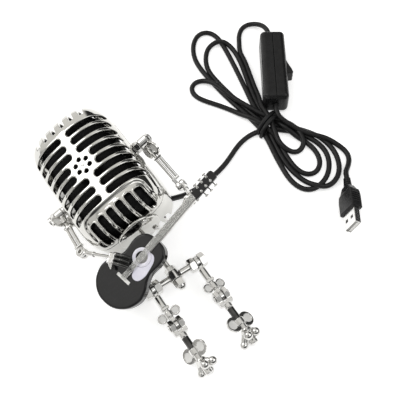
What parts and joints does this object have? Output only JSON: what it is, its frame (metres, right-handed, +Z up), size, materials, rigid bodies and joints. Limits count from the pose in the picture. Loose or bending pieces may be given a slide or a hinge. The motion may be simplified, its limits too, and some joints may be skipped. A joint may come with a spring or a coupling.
{
  "type": "novelty table lamp",
  "caption": "Table lamp made as a slotted microphone body with jointed metal arms and legs, holding a small guitar, on a USB lead with an inline rocker switch.",
  "frame": {"origin": "middle of the lamp's box without its cord, on the table it lies on", "axes": "+Z up out of the table, +Y from the feet to the dome, +X towards the lamp's left hand and its cord"},
  "size_m": [0.2172, 0.2221, 0.0622],
  "materials": {
    "chrome_shell": "polished chrome plate",
    "chrome_fittings": "polished chrome plate",
    "gloss_black": "gloss black",
    "cord_black": "satin black sheath",
    "satin_black": "satin black moulding",
    "white_plastic": "white moulding",
    "board_green": "solder mask",
    "bulb_glass": "frosted",
    "lavender": "pale lavender white",
    "white_trim": "white",
    "plug_steel": "plated steel"
  },
  "bodies": {
    "mic": {"front_grille": "chrome_shell", "rear_shell": "chrome_shell", "grille_liner": "gloss_black", "bottom_cap": "chrome_fittings", "body_screws": "chrome_fittings", "lamp_base": "white_plastic", "led_board": "board_green", "led_lamp": "bulb_glass", "shoulder_studs": "chrome_fittings", "shoulder_caps": "chrome_fittings", "cord_gland": "cord_black", "hip_bolt": "chrome_fittings", "hip_lock_nut": "chrome_fittings", "acorn_nut": "chrome_fittings", "cord_lead": "cord_black", "cord_hank_upper": "cord_black", "cord_hank_lower": "cord_black", "cord_tie": "cord_black", "cord_switch_in": "cord_black", "cord_switch_out": "cord_black", "cord_plug_lead": "cord_black", "switch_base": "satin_black", "switch_cover": "satin_black", "plug_housing": "satin_black", "plug_shell": "plug_steel", "plug_tongue": "white_plastic"},
    "hips": {"hip_bar": "chrome_fittings", "hip_nuts": "chrome_fittings"},
    "left_upper_leg": {"left_thigh": "chrome_fittings", "left_knee_wing_nut": "chrome_fittings"},
    "left_lower_leg": {"left_shin": "chrome_fittings", "left_knee_pin": "chrome_fittings", "left_ankle_wing_nut": "chrome_fittings"},
    "left_foot": {"left_foot": "chrome_fittings"},
    "right_upper_leg": {"right_thigh": "chrome_fittings", "right_knee_wing_nut": "chrome_fittings"},
    "right_lower_leg": {"right_shin": "chrome_fittings", "right_knee_pin": "chrome_fittings", "right_ankle_wing_nut": "chrome_fittings"},
    "right_foot": {"right_foot": "chrome_fittings"},
    "left_upper_arm": {"left_upper_arm": "chrome_fittings", "left_arm_wing_nut": "chrome_fittings", "left_elbow_rivet": "chrome_fittings"},
    "left_forearm": {"left_forearm": "chrome_fittings", "left_hand": "chrome_fittings"},
    "right_upper_arm": {"right_upper_arm": "chrome_fittings", "right_arm_wing_nut": "chrome_fittings", "right_elbow_rivet": "chrome_fittings"},
    "right_forearm": {"right_forearm": "chrome_fittings", "right_hand": "chrome_fittings", "guitar_body": "gloss_black", "guitar_neck": "chrome_fittings", "fretboard": "chrome_fittings", "headstock": "gloss_black", "tuning_pegs": "chrome_fittings", "guitar_bridge": "white_trim", "guitar_strings": "chrome_fittings", "pickguard": "lavender", "rosette": "white_trim"},
    "rocker": {"switch_rocker": "satin_black"}
  },
  "joints": [
    {"name": "hip_swivel", "type": "hinge", "parent": "mic", "child": "hips", "pos_m": [0.00043, -0.02704, 0.01189], "axis": [0, 1, 0], "range_deg": [-25, 5]},
    {"name": "left_hip", "type": "hinge", "parent": "hips", "child": "left_upper_leg", "pos_m": [0.01673, -0.02704, 0.01189], "axis": [1, 0, 0], "range_deg": [-90, 45]},
    {"name": "left_knee", "type": "hinge", "parent": "left_upper_leg", "child": "left_lower_leg", "pos_m": [0.01673, -0.05297, 0.01008], "axis": [1, 0, 0], "range_deg": [-45, 90]},
    {"name": "left_ankle", "type": "hinge", "parent": "left_lower_leg", "child": "left_foot", "pos_m": [0.01673, -0.07791, 0.00834], "axis": [0, -0.9976, -0.0698], "range_deg": [-45, 45]},
    {"name": "right_hip", "type": "hinge", "parent": "hips", "child": "right_upper_leg", "pos_m": [-0.01587, -0.02704, 0.01189], "axis": [1, 0, 0], "range_deg": [-8, 45]},
    {"name": "right_knee", "type": "hinge", "parent": "right_upper_leg", "child": "right_lower_leg", "pos_m": [-0.01587, -0.05297, 0.01008], "axis": [1, 0, 0], "range_deg": [-45, 90]},
    {"name": "right_ankle", "type": "hinge", "parent": "right_lower_leg", "child": "right_foot", "pos_m": [-0.01587, -0.07791, 0.00834], "axis": [0, -0.9976, -0.0698], "range_deg": [-45, 45]},
    {"name": "left_shoulder", "type": "hinge", "parent": "mic", "child": "left_upper_arm", "pos_m": [0.0276, 0.04706, 0.04484], "axis": [0.9171, 0, 0.3987], "range_deg": [0, 30]},
    {"name": "left_elbow", "type": "hinge", "parent": "left_upper_arm", "child": "left_forearm", "pos_m": [0.03473, 0.01606, 0.02843], "axis": [0.9171, 0, 0.3987], "range_deg": [0, 60]},
    {"name": "right_shoulder", "type": "hinge", "parent": "mic", "child": "right_upper_arm", "pos_m": [-0.03642, 0.04706, 0.01701], "axis": [0.9171, 0, 0.3987], "range_deg": [-60, 0]},
    {"name": "right_elbow", "type": "hinge", "parent": "right_upper_arm", "child": "right_forearm", "pos_m": [-0.03963, 0.01218, 0.02439], "axis": [-0.3885, 0.225, 0.8936], "range_deg": [-30, 0]},
    {"name": "switch_rocker", "type": "hinge", "parent": "mic", "child": "rocker", "pos_m": [0.15649, 0.0694, 0.009], "axis": [0, 0, 1], "range_deg": [-20, 0]}
  ]
}
